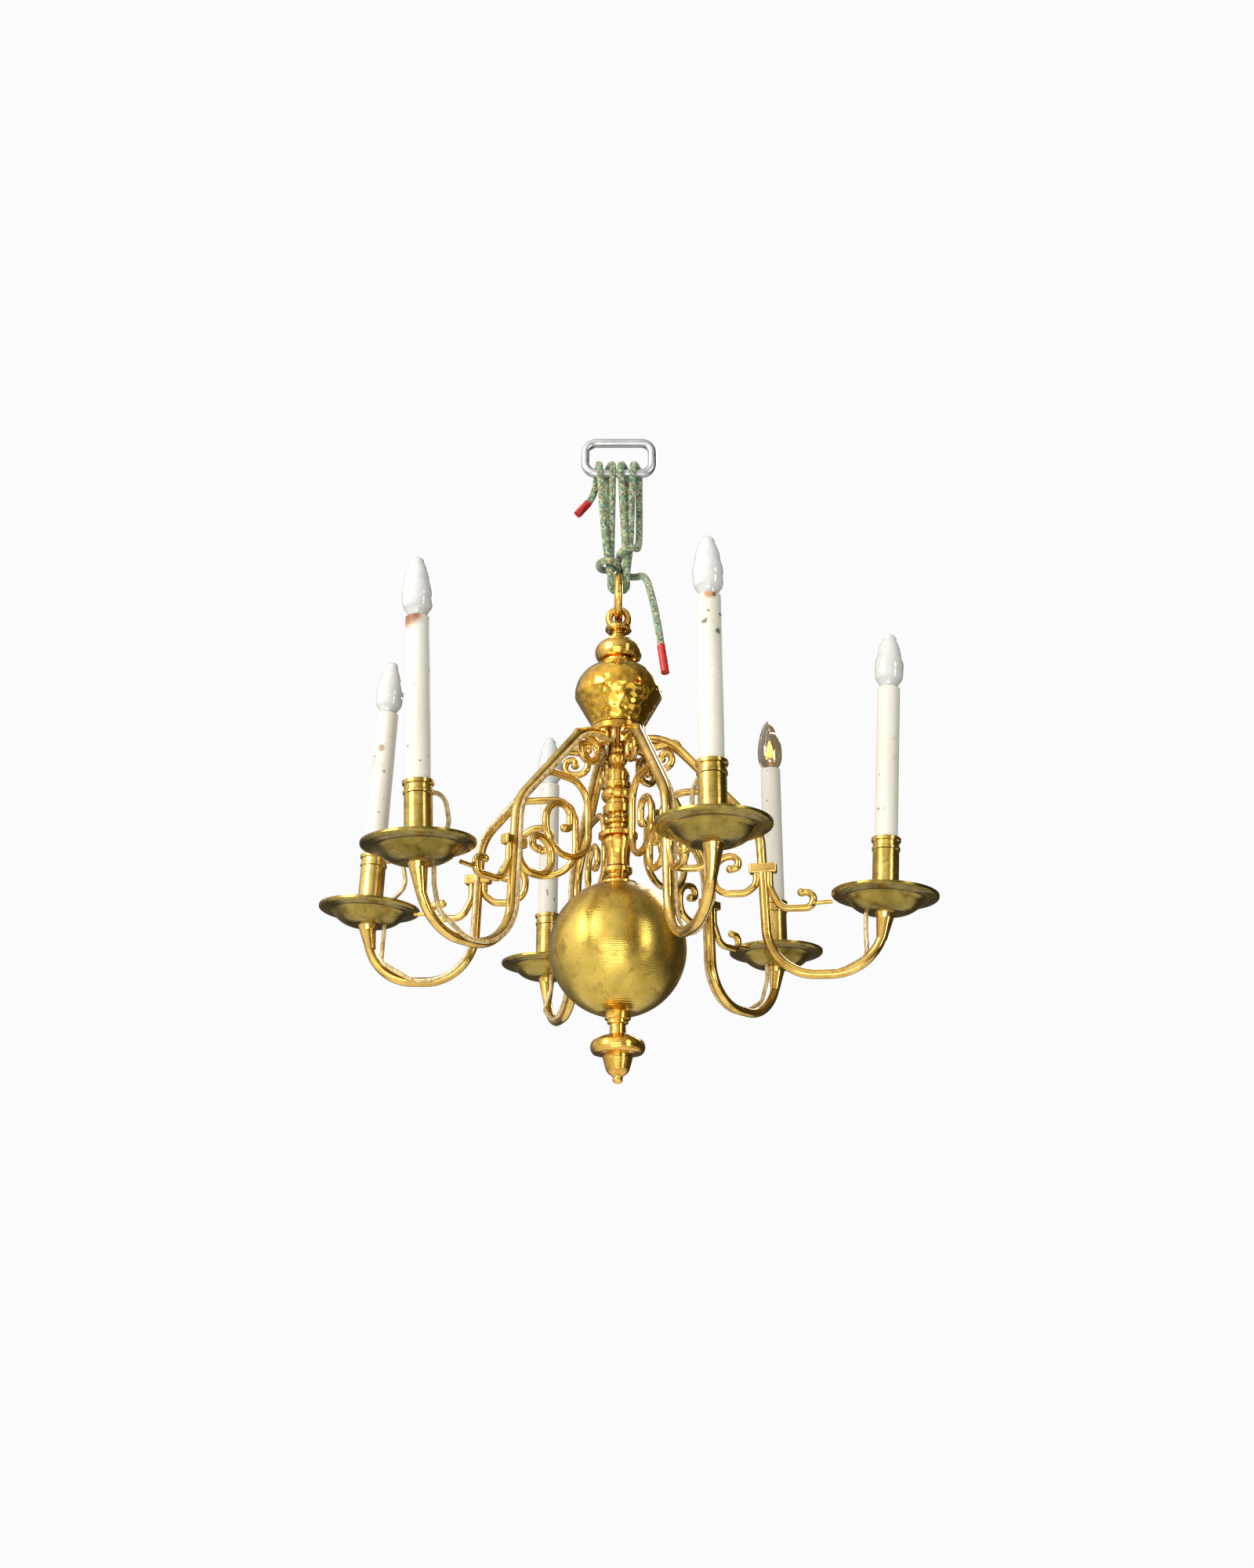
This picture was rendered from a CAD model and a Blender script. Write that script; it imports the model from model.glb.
"""Looks of the six-arm brass chandelier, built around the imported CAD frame.

Everything is in metres in the frame's own axes: +Z up, origin at the hanging point, arm 1 along +X.
"""

import bpy
import math
import numpy as np
from mathutils import Matrix, Vector


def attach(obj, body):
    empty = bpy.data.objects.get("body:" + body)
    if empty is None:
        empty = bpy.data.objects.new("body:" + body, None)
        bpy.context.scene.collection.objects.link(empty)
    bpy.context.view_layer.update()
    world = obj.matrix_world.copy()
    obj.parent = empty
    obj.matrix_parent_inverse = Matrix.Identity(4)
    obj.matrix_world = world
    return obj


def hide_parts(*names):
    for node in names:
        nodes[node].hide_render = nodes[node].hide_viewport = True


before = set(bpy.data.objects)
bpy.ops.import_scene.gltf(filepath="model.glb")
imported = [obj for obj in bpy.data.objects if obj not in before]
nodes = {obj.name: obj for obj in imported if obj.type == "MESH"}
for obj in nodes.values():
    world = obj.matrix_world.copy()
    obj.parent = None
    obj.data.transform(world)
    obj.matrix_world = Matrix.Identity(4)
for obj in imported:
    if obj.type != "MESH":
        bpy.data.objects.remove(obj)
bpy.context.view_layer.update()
MM = 0.001
ARMS = range(1, 7)
REACH = 328                     # stem axis to each candle, in millimetres
PLAITS = 8                      # plaits round the rope's braid

# ---------------------------------------------------------------------------------------------
# Camera: below the chandelier, looking up at it
# ---------------------------------------------------------------------------------------------
HANG_TURN = math.radians(11.7)  # the ring and rope are turned this far from arm 1
RIM_LEVEL = -0.654              # drip pan rims
EYE_DISTANCE, EYE_OFFSET, EYE_BELOW_RIM = 1.957, 0.0112, 0.5545
EYE_TILT = math.radians(20)
LENS = 37.37


def turned(x, y, z):
    """A point given in the ring's own axes, in millimetres above the drip pan rims."""
    spun = Matrix.Rotation(HANG_TURN, 4, "Z") @ Vector((x * MM, y * MM, 0))
    return Vector((spun.x, spun.y, z * MM + RIM_LEVEL))


camera = bpy.data.objects.new("camera", bpy.data.cameras.new("camera"))
bpy.context.scene.collection.objects.link(camera)
camera.data.sensor_width = 36
camera.data.lens = LENS
camera.data.clip_end = 50
camera.location = Matrix.Rotation(HANG_TURN, 4, "Z") @ Vector((EYE_OFFSET, -EYE_DISTANCE, 0))
camera.location.z = RIM_LEVEL - EYE_BELOW_RIM
camera.rotation_euler = (math.pi / 2 + EYE_TILT, 0, HANG_TURN)
bpy.context.scene.camera = camera


# ---------------------------------------------------------------------------------------------
# Material helpers
# ---------------------------------------------------------------------------------------------
class Nodes:
    """Short names for building one material's node tree."""

    def __init__(self, name):
        self.material = bpy.data.materials.new(name)
        self.material.use_nodes = True
        self.tree = self.material.node_tree
        self.shader = self.tree.nodes["Principled BSDF"]
        coords = self.tree.nodes.new("ShaderNodeTexCoord")
        self.place, self.uv = coords.outputs["Object"], coords.outputs["UV"]

    def node(self, kind, links=(), **settings):
        made = self.tree.nodes.new(f"ShaderNode{kind}")
        for key, value in settings.items():
            if hasattr(made, key):
                setattr(made, key, value)
            else:
                made.inputs[key.replace("_", " ")].default_value = value
        for socket, source in links:
            self.tree.links.new(source, made.inputs[socket])
        return made

    def noise(self, scale, detail=4.0, rough=0.55, source=None, distortion=0.0):
        made = self.node("TexNoise", [("Vector", source or self.place)], Scale=scale, Detail=detail,
                         Roughness=rough, Distortion=distortion)
        return made.outputs["Fac"]

    def stretched(self, x, y, z, source=None):
        return self.node("Mapping", [("Vector", source or self.place)], Scale=(x, y, z)).outputs[0]

    def ramp(self, source, *stops):
        made = self.node("ValToRGB", [("Fac", source)])
        elements = made.color_ramp.elements
        while len(elements) < len(stops):
            elements.new(0.5)
        for element, (at, colour) in zip(elements, stops):
            element.position = at
            element.color = (*colour, 1) if hasattr(colour, "__len__") else (colour,) * 3 + (1,)
        return made.outputs["Color"]

    def mix(self, fac, a, b, how="MIX"):
        made = self.node("MixRGB", blend_type=how)
        for socket, value in (("Fac", fac), ("Color1", a), ("Color2", b)):
            if isinstance(value, bpy.types.NodeSocket):
                self.tree.links.new(value, made.inputs[socket])
            else:
                made.inputs[socket].default_value = value if socket == "Fac" else (*value, 1)
        return made.outputs[0]

    def math(self, how, a, b):
        made = self.node("Math", operation=how)
        for i, value in enumerate((a, b)):
            if isinstance(value, bpy.types.NodeSocket):
                self.tree.links.new(value, made.inputs[i])
            else:
                made.inputs[i].default_value = value
        return made.outputs[0]

    def bump(self, height, strength, distance, under=None):
        links = [("Height", height)] + ([("Normal", under)] if under else [])
        return self.node("Bump", links, Strength=strength, Distance=distance).outputs[0]

    def set(self, **inputs):
        for name, value in inputs.items():
            socket = self.shader.inputs[name.replace("_", " ")]
            if isinstance(value, bpy.types.NodeSocket):
                self.tree.links.new(value, socket)
            else:
                socket.default_value = value
        return self.material


def brass(name, bright, deep, tarnish, rough=(0.16, 0.42), patina=9.0, lines=None, dents=0.0, stain=0.6):
    """Aged brass: a bright and a deep gold in drifts, brown tarnish in blotches and fine specks."""
    m = Nodes(name)
    drift = m.noise(patina, 5, 0.6, distortion=0.4)
    body = m.ramp(drift, (0.32, deep), (0.62, bright))
    blotch = m.ramp(m.noise(patina * 4.1, 6, 0.7, distortion=0.8), (0.53, 0), (0.74, 1))
    specks = m.ramp(m.noise(420, 2, 0.5), (0.66, 0), (0.76, 1))
    stained = m.mix(m.math("MULTIPLY", blotch, stain), body, tarnish)
    colour = m.mix(m.math("MULTIPLY", specks, 0.45), stained, tarnish)
    smear = m.noise(60, 5, 0.65, source=m.stretched(1, 1, 0.35))
    roughness = m.ramp(m.math("ADD", m.math("MULTIPLY", smear, 0.6), m.math("MULTIPLY", blotch, 0.4)),
                       (0.25, rough[0]), (0.75, rough[1]))
    normal = m.bump(m.noise(900, 3), 0.12, 0.0004)
    normal = m.bump(m.noise(34, 3, 0.5), 0.22, 0.0012, normal)
    if lines:
        wave = m.node("TexWave", [("Vector", m.place)], Scale=lines, Distortion=0.6, Detail=3.0,
                      Detail_Scale=1.5, bands_direction="Z")
        normal = m.bump(wave.outputs["Fac"], 0.22, 0.0005, normal)
    if dents:
        cells = m.node("TexVoronoi", [("Vector", m.place)], Scale=95, feature="SMOOTH_F1")
        normal = m.bump(cells.outputs["Distance"], dents, 0.004, normal)
    return m.set(Base_Color=colour, Metallic=1.0, Roughness=roughness, Normal=normal)


def plain_detail(name, light, dark, rough, metallic=0.0, grain=500, fade=25, **extra):
    """A plain finish: two close shades in drifts, uneven roughness and a fine grain."""
    m = Nodes(name)
    colour = m.mix(m.ramp(m.noise(fade, 4, 0.6), (0.35, 0), (0.7, 1)), light, dark)
    roughness = m.ramp(m.noise(fade * 3, 4), (0.3, rough[0]), (0.7, rough[1]))
    return m.set(Base_Color=colour, Roughness=roughness, Metallic=metallic,
                 Normal=m.bump(m.noise(grain, 3), 0.15, 0.0003), **extra)


arm_brass = brass("arm_brass", (0.78, 0.52, 0.14), (0.42, 0.25, 0.05), (0.05, 0.025, 0.008),
                  rough=(0.12, 0.34), patina=16, stain=0.75)
pan_brass = brass("pan_brass", (0.38, 0.28, 0.065), (0.12, 0.085, 0.015), (0.03, 0.02, 0.006),
                  rough=(0.16, 0.38), patina=17, lines=260, stain=0.85)
cup_brass = brass("cup_brass", (0.70, 0.49, 0.14), (0.34, 0.22, 0.04), (0.05, 0.03, 0.008),
                  rough=(0.14, 0.34), patina=26, lines=300, stain=0.7)
stem_brass = brass("stem_brass", (0.80, 0.50, 0.11), (0.42, 0.22, 0.035), (0.06, 0.025, 0.006),
                   rough=(0.08, 0.28), patina=22, lines=280, stain=0.75)
ball_brass = brass("ball_brass", (0.62, 0.44, 0.09), (0.30, 0.19, 0.03), (0.09, 0.05, 0.01),
                   rough=(0.24, 0.44), patina=10, lines=150, stain=0.8)
vase_brass = brass("hammered_brass", (0.80, 0.49, 0.07), (0.38, 0.19, 0.018), (0.08, 0.035, 0.008),
                   rough=(0.12, 0.28), patina=26, dents=0.5, stain=0.8)
steel = plain_detail("steel", (0.56, 0.56, 0.57), (0.38, 0.38, 0.40), (0.25, 0.45), metallic=1.0)
holder = plain_detail("holder_plastic", (0.04, 0.04, 0.04), (0.02, 0.02, 0.02), (0.35, 0.5))
block = plain_detail("block_plastic", (0.80, 0.78, 0.72), (0.70, 0.67, 0.58), (0.4, 0.6))
red_shrink = plain_detail("red_shrink", (0.42, 0.008, 0.006), (0.24, 0.005, 0.004), (0.28, 0.5), fade=90)


def sleeve_material(name="sleeve", marks=()):
    """Ivory card sleeve: faint vertical fibre, yellowed drifts, brown stains and a few black nicks.

    Each mark is a burn or soot spot: (point, reach, colour).
    """
    m = Nodes(name)
    body = m.ramp(m.noise(7, 4, 0.6), (0.3, (0.55, 0.535, 0.475)), (0.7, (0.49, 0.46, 0.375)))
    fibre = m.noise(160, 3, 0.5, source=m.stretched(1, 1, 0.08))
    body = m.mix(m.math("MULTIPLY", m.ramp(fibre, (0.45, 0), (0.8, 1)), 0.22), body, (0.44, 0.38, 0.26))
    stain = m.ramp(m.noise(38, 3, 0.5, distortion=0.5), (0.66, 0), (0.78, 1))
    body = m.mix(m.math("MULTIPLY", stain, 0.5), body, (0.34, 0.22, 0.10))
    nick = m.ramp(m.noise(150, 1, 0.4), (0.735, 0), (0.76, 1))
    body = m.mix(m.math("MULTIPLY", nick, 0.85), body, (0.06, 0.04, 0.02))
    for point, reach, colour in marks:
        away = m.node("VectorMath", [(0, m.place)], operation="DISTANCE")
        away.inputs[1].default_value = point
        ragged = m.math("ADD", away.outputs["Value"], m.math("MULTIPLY", m.noise(0.9 / reach, 3), reach))
        spot = m.ramp(m.math("DIVIDE", ragged, reach * 2), (0.55, 1), (0.85, 0))
        body = m.mix(m.math("MULTIPLY", spot, 0.9), body, colour)
    return m.set(Base_Color=body, Roughness=m.ramp(fibre, (0.3, 0.42), (0.7, 0.60)),
                 Normal=m.bump(fibre, 0.12, 0.0004), Subsurface_Weight=0.08, Subsurface_Scale=0.004)


def flex_material():
    """Clear PVC over a twisted pair: pale gold, glossy, partly see-through."""
    m = Nodes("clear_flex")
    twist = m.noise(300, 2, 0.5, source=m.stretched(1, 1, 0.5))
    colour = m.mix(m.ramp(twist, (0.4, 0), (0.62, 1)), (0.62, 0.46, 0.18), (0.34, 0.22, 0.07))
    return m.set(Base_Color=colour, Roughness=m.ramp(m.noise(60), (0.3, 0.12), (0.7, 0.26)), IOR=1.5,
                 Coat_Weight=0.6, Coat_Roughness=0.08, Transmission_Weight=0.15)


def opal_material():
    """Milky glass with faint clouds."""
    m = Nodes("opal_glass")
    cloud = m.noise(24, 3, 0.5)
    colour = m.ramp(cloud, (0.3, (0.50, 0.50, 0.485)), (0.7, (0.44, 0.44, 0.42)))
    return m.set(Base_Color=colour, Roughness=m.ramp(cloud, (0.3, 0.10), (0.7, 0.18)),
                 Subsurface_Weight=0.25, Subsurface_Scale=0.01, Coat_Weight=0.5, Coat_Roughness=0.05)


def clear_material():
    """Thin glass warmed by the lamp, a little dusty."""
    m = Nodes("clear_glass")
    dust = m.noise(120, 3, 0.5)
    return m.set(Base_Color=m.ramp(dust, (0.3, (1.0, 0.93, 0.80)), (0.7, (0.97, 0.86, 0.68))),
                 Roughness=m.ramp(dust, (0.4, 0.0), (0.8, 0.05)), IOR=1.48, Transmission_Weight=1.0)


def glow_material():
    """The lit filament and the light around it."""
    m = Nodes("filament_glow")
    heat = m.ramp(m.noise(200, 2), (0.3, (1.0, 0.42, 0.07)), (0.7, (1.0, 0.62, 0.18)))
    return m.set(Base_Color=heat, Emission_Color=heat, Emission_Strength=2.2)


def rope_material():
    """Braided sleeve: each plait of the weave takes one of five yarn colours."""
    m = Nodes("rope")
    u, v = m.node("SeparateXYZ", [(0, m.uv)]).outputs[:2]
    around, along = m.math("MULTIPLY", u, PLAITS), m.math("MULTIPLY", v, PLAITS)
    one, other = m.math("ADD", around, along), m.math("SUBTRACT", around, along)
    cell = m.node("CombineXYZ", [(0, m.math("FLOOR", one, 0)), (1, m.math("FLOOR", other, 0))]).outputs[0]
    pick = m.node("TexWhiteNoise", [("Vector", cell)], noise_dimensions="2D").outputs["Value"]
    band = m.noise(4, 2, 0.5, source=m.node("CombineXYZ", [(0, m.math("MULTIPLY", v, 0.5))]).outputs[0])
    pick = m.math("ADD", m.math("MULTIPLY", pick, 0.82), m.math("MULTIPLY", band, 0.18))
    yarns = m.ramp(pick, (0.0, (0.015, 0.035, 0.02)), (0.26, (0.13, 0.23, 0.09)), (0.46, (0.09, 0.28, 0.20)),
                   (0.60, (0.42, 0.42, 0.22)), (0.76, (0.20, 0.12, 0.05)))
    yarns.node.color_ramp.interpolation = "CONSTANT"
    fuzz = m.noise(1400, 3, 0.6)
    colour = m.mix(m.math("MULTIPLY", fuzz, 0.28), yarns, (0.26, 0.30, 0.18))
    ridges = m.math("MULTIPLY", *(m.math("ABSOLUTE", m.math("SINE", m.math("MULTIPLY", x, math.pi), 0), 0)
                                  for x in (one, other)))
    normal = m.bump(fuzz, 0.25, 0.0004, m.bump(ridges, 0.7, 0.0010))
    return m.set(Base_Color=colour, Roughness=m.ramp(fuzz, (0.3, 0.62), (0.7, 0.85)), Normal=normal,
                 Sheen_Weight=0.25)


def paint(name, material):
    """Give a CAD node its finished material."""
    slots = nodes[name].material_slots
    if not slots:
        nodes[name].data.materials.append(material)
    for slot in slots:
        slot.material = material


def sleeve_top(k, east, north, below=0.0):
    """A point beside the top of one candle sleeve, offset in metres."""
    tall = nodes[f"candle_sleeve_{k}"]
    points = [tall.matrix_world @ v.co for v in tall.data.vertices]
    top = max(p.z for p in points)
    rim = [p for p in points if p.z > top - 0.004]
    centre = sum(rim, Vector()) / len(rim)
    return tuple(centre + Vector((east, north, -below)))


opal, clear, sleeve, flex = opal_material(), clear_material(), sleeve_material(), flex_material()
glow = glow_material()
burnt, singed, browned = (0.16, 0.055, 0.01), (0.30, 0.11, 0.02), (0.40, 0.18, 0.05)
soot, rust = (0.04, 0.035, 0.03), (0.26, 0.14, 0.05)
sleeves = {
    5: sleeve_material("sleeve_scorched", [(sleeve_top(5, -0.008, -0.011), 0.017, singed),
                                           (sleeve_top(5, -0.004, -0.013), 0.011, burnt)]),
    6: sleeve_material("sleeve_sooted", [(sleeve_top(6, 0.003, -0.013), 0.008, browned),
                                         (sleeve_top(6, 0.008, -0.011, 0.003), 0.003, soot),
                                         (sleeve_top(6, -0.004, -0.014, 0.036), 0.0035, soot),
                                         (sleeve_top(6, 0.011, -0.008, 0.047), 0.004, soot)]),
    4: sleeve_material("sleeve_spotted", [(sleeve_top(4, -0.002, -0.014, 0.052), 0.005, rust),
                                          (sleeve_top(4, 0.004, -0.014, 0.085), 0.003, rust)]),
}
for k in ARMS:
    paint(f"arm_{k}", arm_brass)
    paint(f"drip_pan_{k}", pan_brass)
    paint(f"candle_cup_{k}", cup_brass)
    paint(f"candle_sleeve_{k}", sleeves.get(k, sleeve))
    paint(f"bulb_{k}", opal)
    paint(f"flex_{k}", flex)
for name in ("eye_knob", "upper_bead", "hub_plate", "stem_knop", "stem_spool", "stem_flange", "stem_bell",
             "stem_collar", "ball_foot", "finial_knob", "finial_cap", "suspension_ring"):
    paint(name, stem_brass)
for name, material in (("ball_upper", ball_brass), ("ball_lower", ball_brass), ("vase_body", vase_brass),
                       ("hanging_link", steel), ("tie_rod", steel), ("arm_nuts", steel),
                       ("rod_nut", steel), ("candle_nipples", steel), ("lampholders", holder),
                       ("terminal_block", block), ("rope_end_caps", red_shrink)):
    paint(name, material)

# ---------------------------------------------------------------------------------------------
# Rope: one line through the same corners as its solid, then a braided skin round it
# ---------------------------------------------------------------------------------------------
ROPE_RADIUS, LINK_AXIS, RING_AXIS, RING_RADIUS = 4.7, 612, 422, 29
OVER, UNDER = 11.0, 10.8        # rope line from the middle of the bar that it goes round
SPREAD = 1.4                    # how much wider than that the legs leave the link
UPRIGHT, CLEAR = 20, 56         # first and second point of a leg, from its bend
SHORT_LEG, LONG_LEG = 40, 70    # a leg longer than these takes one or two more points


def over_link(front, back, forwards):
    """Corners over the link's bar, given where along the bar the rope goes up and comes down."""
    ends = [(back, OVER + SPREAD, LINK_AXIS + OVER), (front, -OVER - SPREAD, LINK_AXIS + OVER)]
    return ends if forwards else ends[::-1]


def under_ring(depth, rightwards):
    """Corners of one turn under the ring's upper bar, this far back along the bar."""
    level = RING_AXIS + math.sqrt((RING_RADIUS - UNDER) ** 2 - depth ** 2)
    ends = [(-UNDER, depth, level + UPRIGHT), (-UNDER, depth, level), (UNDER, depth, level),
            (UNDER, depth, level + UPRIGHT)]
    return ends if rightwards else ends[::-1]


LEFT_TAIL = [(-42, 14, 574), (-34, 14.5, 584)]
HITCH = [(28, 10, 520), (26.5, -2, 493), (20, -23, 486), (1.5, -21, 481), (-2, 21, 477), (-22, 23, 474),
         (-28.5, -1, 470), (-20, -23, 467), (-1, -20, 466), (2, 20, 466), (22.5, 23, 464), (32, 2, 457)]
RIGHT_TAIL = [(38, -24, 436), (43, -40, 408), (50, -53, 366), (55, -62, 323)]
corners = LEFT_TAIL + over_link(-27, -29, True) + [(-17.5, -11.6, 495)] + under_ring(-10.2, True)
corners += over_link(2, 10.5, False) + under_ring(10.2, False) + over_link(-8, -17, True)
corners += under_ring(0, True) + [(15.5, -7.5, 495)] + over_link(19.5, 28, False) + HITCH + RIGHT_TAIL


def with_leg_points(points):
    """Hold each leg straight below the link's bar, with one more point or two near that bend."""
    held = [points[0]]
    for a, b in zip(points, points[1:]):
        a, b = Vector(a), Vector(b)
        run, way = (b - a).length, (b - a).normalized()
        if run > LONG_LEG:
            if a.z > LINK_AXIS:
                held += [tuple(a + way * UPRIGHT), tuple(a + way * CLEAR)]
            if b.z > LINK_AXIS:
                held += [tuple(b - way * CLEAR), tuple(b - way * UPRIGHT)]
        elif run > SHORT_LEG and max(a.z, b.z) > LINK_AXIS:
            held.append(tuple(a + way * UPRIGHT if a.z > b.z else b - way * UPRIGHT))
        held.append(tuple(b))
    return held


line = bpy.data.curves.new("rope_line", "CURVE")
line.dimensions, line.resolution_u = "3D", 10
spline = line.splines.new("NURBS")
control = with_leg_points(corners)
spline.points.add(len(control) - 1)
for point, place in zip(spline.points, control):
    point.co = (*turned(*place), 1)
spline.order_u = 3
spline.use_endpoint_u = True
line_object = bpy.data.objects.new("rope_line", line)
bpy.context.scene.collection.objects.link(line_object)
bpy.context.view_layer.update()
traced = bpy.data.meshes.new_from_object(line_object)
route = np.array([v.co for v in traced.vertices])
bpy.data.objects.remove(line_object)
bpy.data.meshes.remove(traced)


def evenly(points, step):
    """Points this far apart along a line, and how far along it each one is."""
    gone = np.concatenate([[0], np.cumsum(np.linalg.norm(np.diff(points, axis=0), axis=1))])
    at = np.linspace(0, gone[-1], int(gone[-1] / step) + 1)
    return np.stack([np.interp(at, gone, points[:, i]) for i in range(3)], 1), at


def braided_tube(name, points, radius, material, around=24, relief=0.00045):
    """Skin round a line, raised in a diagonal plait; UV runs once round and in turns along."""
    heading = np.gradient(points, axis=0)
    heading /= np.linalg.norm(heading, axis=1, keepdims=True)
    across = np.cross(heading[0], (0.3, 0.5, 0.8))
    frames = []
    for way in heading:
        across = across - way * across.dot(way)
        across /= np.linalg.norm(across)
        frames.append((across, np.cross(way, across)))
    gone = np.concatenate([[0], np.cumsum(np.linalg.norm(np.diff(points, axis=0), axis=1))])
    turns = gone / (2 * math.pi * radius)
    angle = 2 * math.pi * np.arange(around) / around
    u = np.arange(around) / around
    rise = np.sqrt(np.abs(np.sin(math.pi * PLAITS * (u[None] + turns[:, None]))
                          * np.sin(math.pi * PLAITS * (u[None] - turns[:, None]))))
    reach = radius - relief * 0.6 + relief * rise
    side = np.array([f[0] for f in frames])[:, None]
    other = np.array([f[1] for f in frames])[:, None]
    skin = points[:, None] + reach[..., None] * (side * np.cos(angle)[None, :, None]
                                                 + other * np.sin(angle)[None, :, None])
    count = len(points)
    vertices = skin.reshape(-1, 3).tolist() + [points[0].tolist(), points[-1].tolist()]
    faces, uvs = [], []
    for i in range(count - 1):
        for j in range(around):
            k = (j + 1) % around
            faces.append((i * around + j, i * around + k, (i + 1) * around + k, (i + 1) * around + j))
            uvs += [(j / around, turns[i]), ((j + 1) / around, turns[i]),
                    ((j + 1) / around, turns[i + 1]), (j / around, turns[i + 1])]
    last = (count - 1) * around
    for j in range(around):
        k = (j + 1) % around
        faces += [(count * around, k, j), (count * around + 1, last + j, last + k)]
        uvs += [(0.5, 0), (k / around, 0), (j / around, 0), (0.5, turns[-1]), (j / around, turns[-1]),
                (k / around, turns[-1])]
    mesh = bpy.data.meshes.new(name)
    mesh.from_pydata(vertices, [], faces)
    layer = mesh.uv_layers.new(name="UVMap")
    layer.data.foreach_set("uv", np.array(uvs, np.float32).ravel())
    mesh.materials.append(material)
    mesh.polygons.foreach_set("use_smooth", [True] * len(mesh.polygons))
    made = bpy.data.objects.new(name, mesh)
    bpy.context.scene.collection.objects.link(made)
    return made


route, along = evenly(route, 0.0012)
rope = braided_tube("rope_braid", route, ROPE_RADIUS * MM, rope_material())
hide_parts("rope")
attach(rope, "hanger")

# ---------------------------------------------------------------------------------------------
# The lit bulb: clear glass over a glowing filament, on arm 2
# ---------------------------------------------------------------------------------------------


def lathed(name, outline, place, material, steps=48):
    """A piece turned about its own Z from (radius, height) points in millimetres."""
    points, faces = [], []
    for r, z in outline:
        points += [(r * MM * math.cos(2 * math.pi * j / steps), r * MM * math.sin(2 * math.pi * j / steps),
                    z * MM) for j in range(steps)]
    for i in range(len(outline) - 1):
        for j in range(steps):
            k = (j + 1) % steps
            faces.append((i * steps + j, i * steps + k, (i + 1) * steps + k, (i + 1) * steps + j))
    mesh = bpy.data.meshes.new(name)
    mesh.from_pydata(points, [], faces)
    mesh.materials.append(material)
    mesh.polygons.foreach_set("use_smooth", [True] * len(mesh.polygons))
    made = bpy.data.objects.new(name, mesh)
    made.location = place
    bpy.context.scene.collection.objects.link(made)
    return made


def smooth_line(points, steps=6):
    """Round curve through (radius, height) points."""
    p = np.array([points[0], *points, points[-1]], float)
    made = []
    for a, b, c, d in zip(p, p[1:], p[2:], p[3:]):
        for t in np.linspace(0, 1, steps, endpoint=False):
            made.append(0.5 * (2 * b + (c - a) * t + (2 * a - 5 * b + 4 * c - d) * t ** 2
                               + (3 * b - a - 3 * c + d) * t ** 3))
    return [tuple(q) for q in made] + [tuple(p[-1])]


ARM_2, BULB_FOOT = math.radians(60), 242
bulb_foot = Vector((REACH * MM * math.cos(ARM_2), REACH * MM * math.sin(ARM_2),
                    RIM_LEVEL + BULB_FOOT * MM))
GLASS_WALL = 0.9
glass_line = smooth_line([(6.9, 22), (10, 27), (15.9, 38), (17.4, 50), (17.0, 60), (15.5, 70), (12.9, 82),
                          (9.4, 92), (6.2, 98), (3, 101), (0.3, 101.9)])
inner_line = [(max(r - GLASS_WALL, 0.15), z - (GLASS_WALL if z > 80 else 0.0)) for r, z in glass_line]
shell = lathed("bulb_glass", glass_line + inner_line[::-1] + [glass_line[0]], bulb_foot, clear)
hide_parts("bulb_2")
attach(shell, "bulb_2")
cap_line = [(0.2, 0), (4, 0.4), (5, 2), (7, 4)]
for i in range(8):
    cap_line += [(7.0, 5 + 2 * i), (6.5, 6 + 2 * i)]
cap_line += [(7, 21), (7, 24), (0.2, 24)]
filament = []
for turn in range(25):
    a = turn / 24 * math.pi
    filament.append((5.0 * math.cos(a), 0.9 * math.sin(turn * 1.7), 44 + 15 * math.sin(a)))
mount = smooth_line([(0.2, 24), (4.2, 24.5), (2.6, 30), (1.8, 38), (2.4, 43), (0.2, 44)])
flame = smooth_line([(0.2, 45), (2.6, 47), (4.6, 53), (4.0, 60), (1.8, 68), (0.2, 72)])
pieces = [lathed("bulb_cap", cap_line, bulb_foot, cup_brass),
          lathed("bulb_glow", flame, bulb_foot, glow),
          lathed("bulb_stem", mount, bulb_foot, clear),
          braided_tube("bulb_filament", evenly(np.array(filament) * MM + np.array(bulb_foot), 0.0006)[0],
                       0.0011, glow, around=8, relief=0.0002)]
for piece in pieces:
    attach(piece, "bulb_2")

# ---------------------------------------------------------------------------------------------
# Studio
# ---------------------------------------------------------------------------------------------
FLOOR = -2.1


def floor(radius=2.6, steps=96):
    """A round of pale paper, faintly fibrous, well below the finial."""
    paper = Nodes("studio_paper")
    shade = paper.ramp(paper.noise(3, 2), (0.3, 0.84), (0.7, 0.88))
    paper.set(Base_Color=shade, Roughness=0.9, Normal=paper.bump(paper.noise(600, 2), 0.05, 0.0005))
    rings = [(radius * f, FLOOR - 0.06 * max(0, f - 0.8) * 5) for f in (0.25, 0.5, 0.8, 1.0)]
    points = [(r * math.cos(2 * math.pi * j / steps), r * math.sin(2 * math.pi * j / steps), z)
              for r, z in rings for j in range(steps)] + [(0, 0, FLOOR)]
    faces = [(i * steps + j, i * steps + (j + 1) % steps, (i + 1) * steps + (j + 1) % steps,
              (i + 1) * steps + j) for i in range(len(rings) - 1) for j in range(steps)]
    faces += [(len(points) - 1, j, (j + 1) % steps) for j in range(steps)]
    mesh = bpy.data.meshes.new("studio")
    mesh.from_pydata(points, [], faces)
    mesh.materials.append(paper.material)
    sheet = bpy.data.objects.new("studio", mesh)
    bpy.context.scene.collection.objects.link(sheet)


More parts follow.
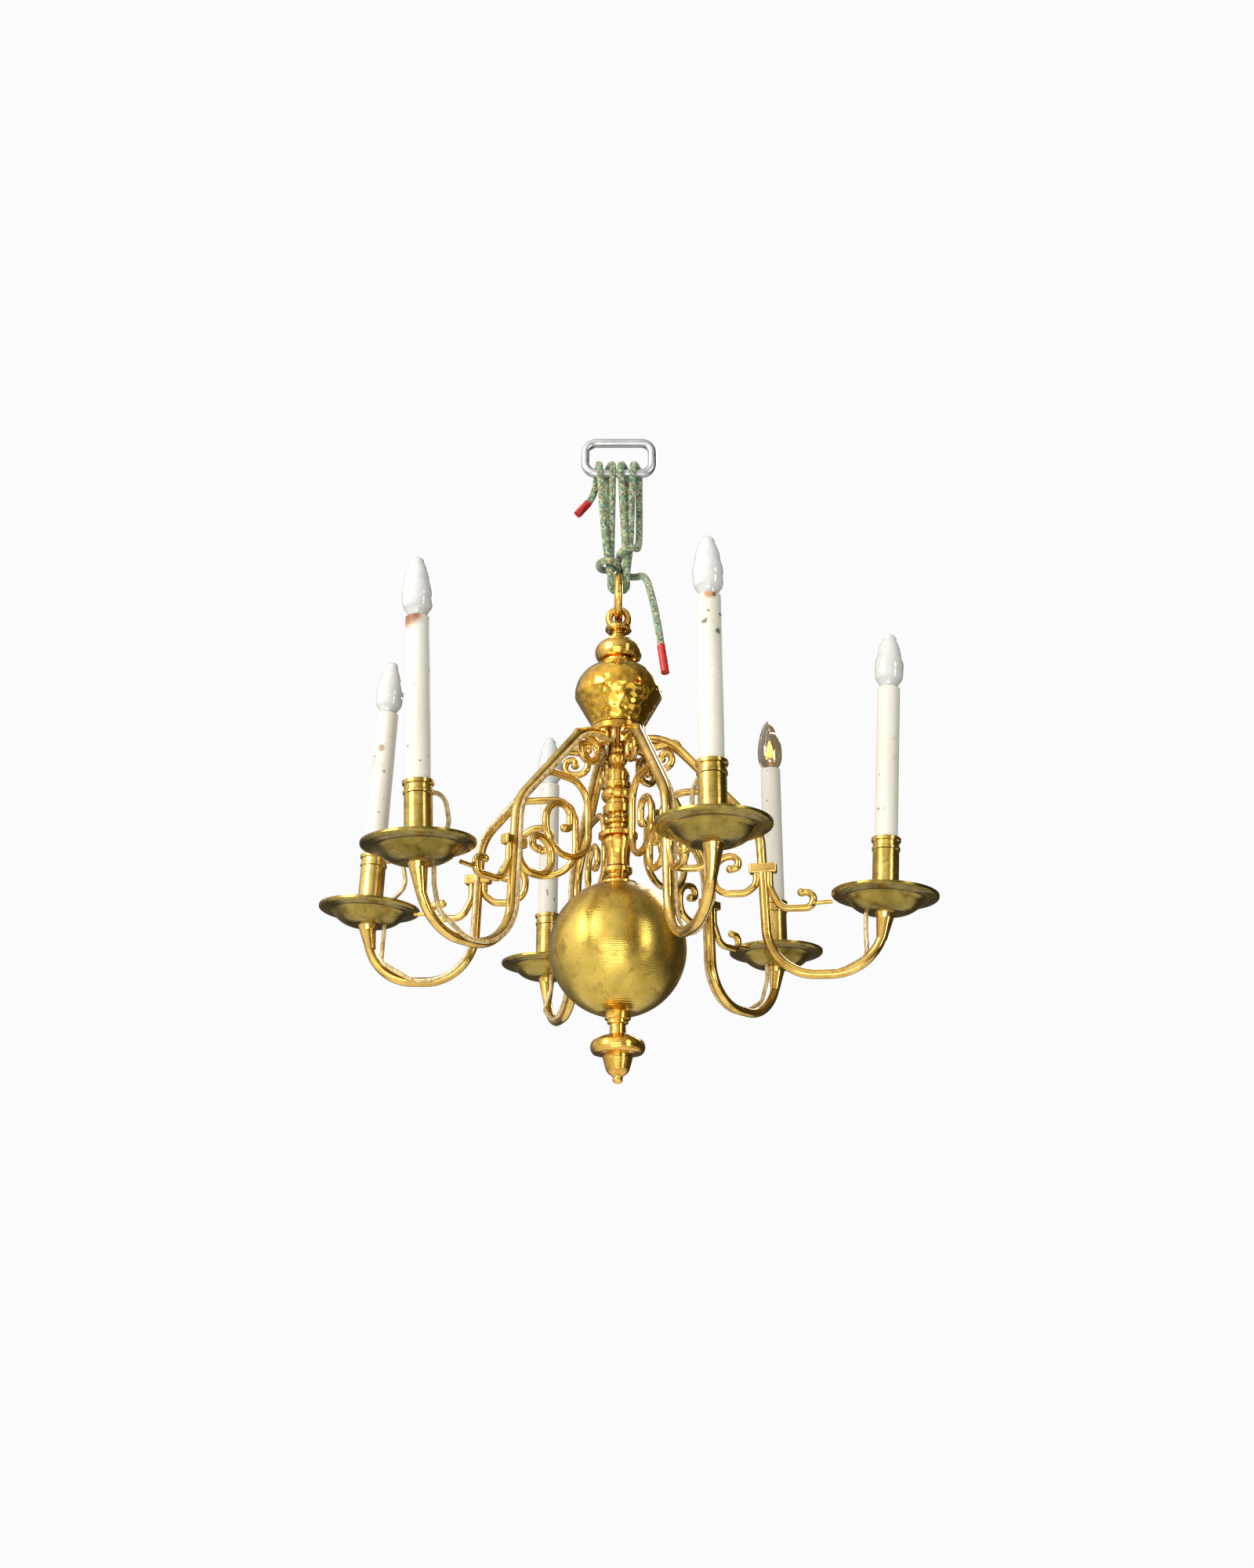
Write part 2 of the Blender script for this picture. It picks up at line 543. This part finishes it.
def air(towards_key):
    """Pale all round for the eye; for light and reflections, bright towards the key and dim away from it."""
    world = bpy.data.worlds.new("studio_air")
    bpy.context.scene.world = world
    world.use_nodes = True
    tree = world.node_tree
    seen = tree.nodes["Background"]
    seen.inputs["Color"].default_value = (0.93, 0.93, 0.93, 1)
    seen.inputs["Strength"].default_value = 1.04
    place = tree.nodes.new("ShaderNodeTexCoord")
    facing = tree.nodes.new("ShaderNodeVectorMath")
    facing.operation = "DOT_PRODUCT"
    facing.inputs[1].default_value = towards_key
    half = tree.nodes.new("ShaderNodeMath")
    half.operation = "MULTIPLY_ADD"
    half.inputs[1].default_value = half.inputs[2].default_value = 0.5
    ramp = tree.nodes.new("ShaderNodeValToRGB")
    stops = [(0.0, (0.10, 0.085, 0.06)), (0.35, (0.16, 0.14, 0.10)), (0.55, (0.42, 0.41, 0.38)),
             (0.72, (1.0, 0.99, 0.96)), (0.9, (1.9, 1.88, 1.84))]
    while len(ramp.color_ramp.elements) < len(stops):
        ramp.color_ramp.elements.new(0.5)
    for element, (at, colour) in zip(ramp.color_ramp.elements, stops):
        element.position, element.color = at, (*colour, 1)
    felt = tree.nodes.new("ShaderNodeBackground")
    felt.inputs["Strength"].default_value = 0.75
    path = tree.nodes.new("ShaderNodeLightPath")
    both = tree.nodes.new("ShaderNodeMixShader")
    link = tree.links.new
    link(place.outputs["Generated"], facing.inputs[0])
    link(facing.outputs["Value"], half.inputs[0])
    link(half.outputs[0], ramp.inputs["Fac"])
    link(ramp.outputs["Color"], felt.inputs["Color"])
    link(path.outputs["Is Camera Ray"], both.inputs["Fac"])
    link(felt.outputs[0], both.inputs[1])
    link(seen.outputs[0], both.inputs[2])
    link(both.outputs[0], tree.nodes["World Output"].inputs["Surface"])


def light(name, place, size, power, colour=(1, 1, 1)):
    """A rectangular lamp aimed at the middle of the chandelier, unseen by the camera."""
    lamp = bpy.data.lights.new(name, "AREA")
    lamp.shape, lamp.size, lamp.size_y = "RECTANGLE", size[0], size[1]
    lamp.energy, lamp.color = power, colour
    made = bpy.data.objects.new(name, lamp)
    bpy.context.scene.collection.objects.link(made)
    made.location = place
    made.visible_camera = False
    aim = Vector((0, 0, -0.6)) - Vector(place)
    made.rotation_euler = aim.to_track_quat("-Z", "Y").to_euler()


floor()
air(Vector((-0.62, -0.62, 0.48)))
light("key", (-1.7, -2.1, 0.7), (1.3, 1.3), 85, (1.0, 0.98, 0.94))
light("fill", (2.4, -1.5, -0.4), (0.5, 2.0), 26, (0.97, 0.98, 1.0))
light("front", (0.2, -2.6, -1.7), (1.8, 0.4), 26)
light("back", (0.6, 2.6, 1.4), (1.6, 1.0), 45)
bpy.context.scene.view_settings.view_transform = "Standard"
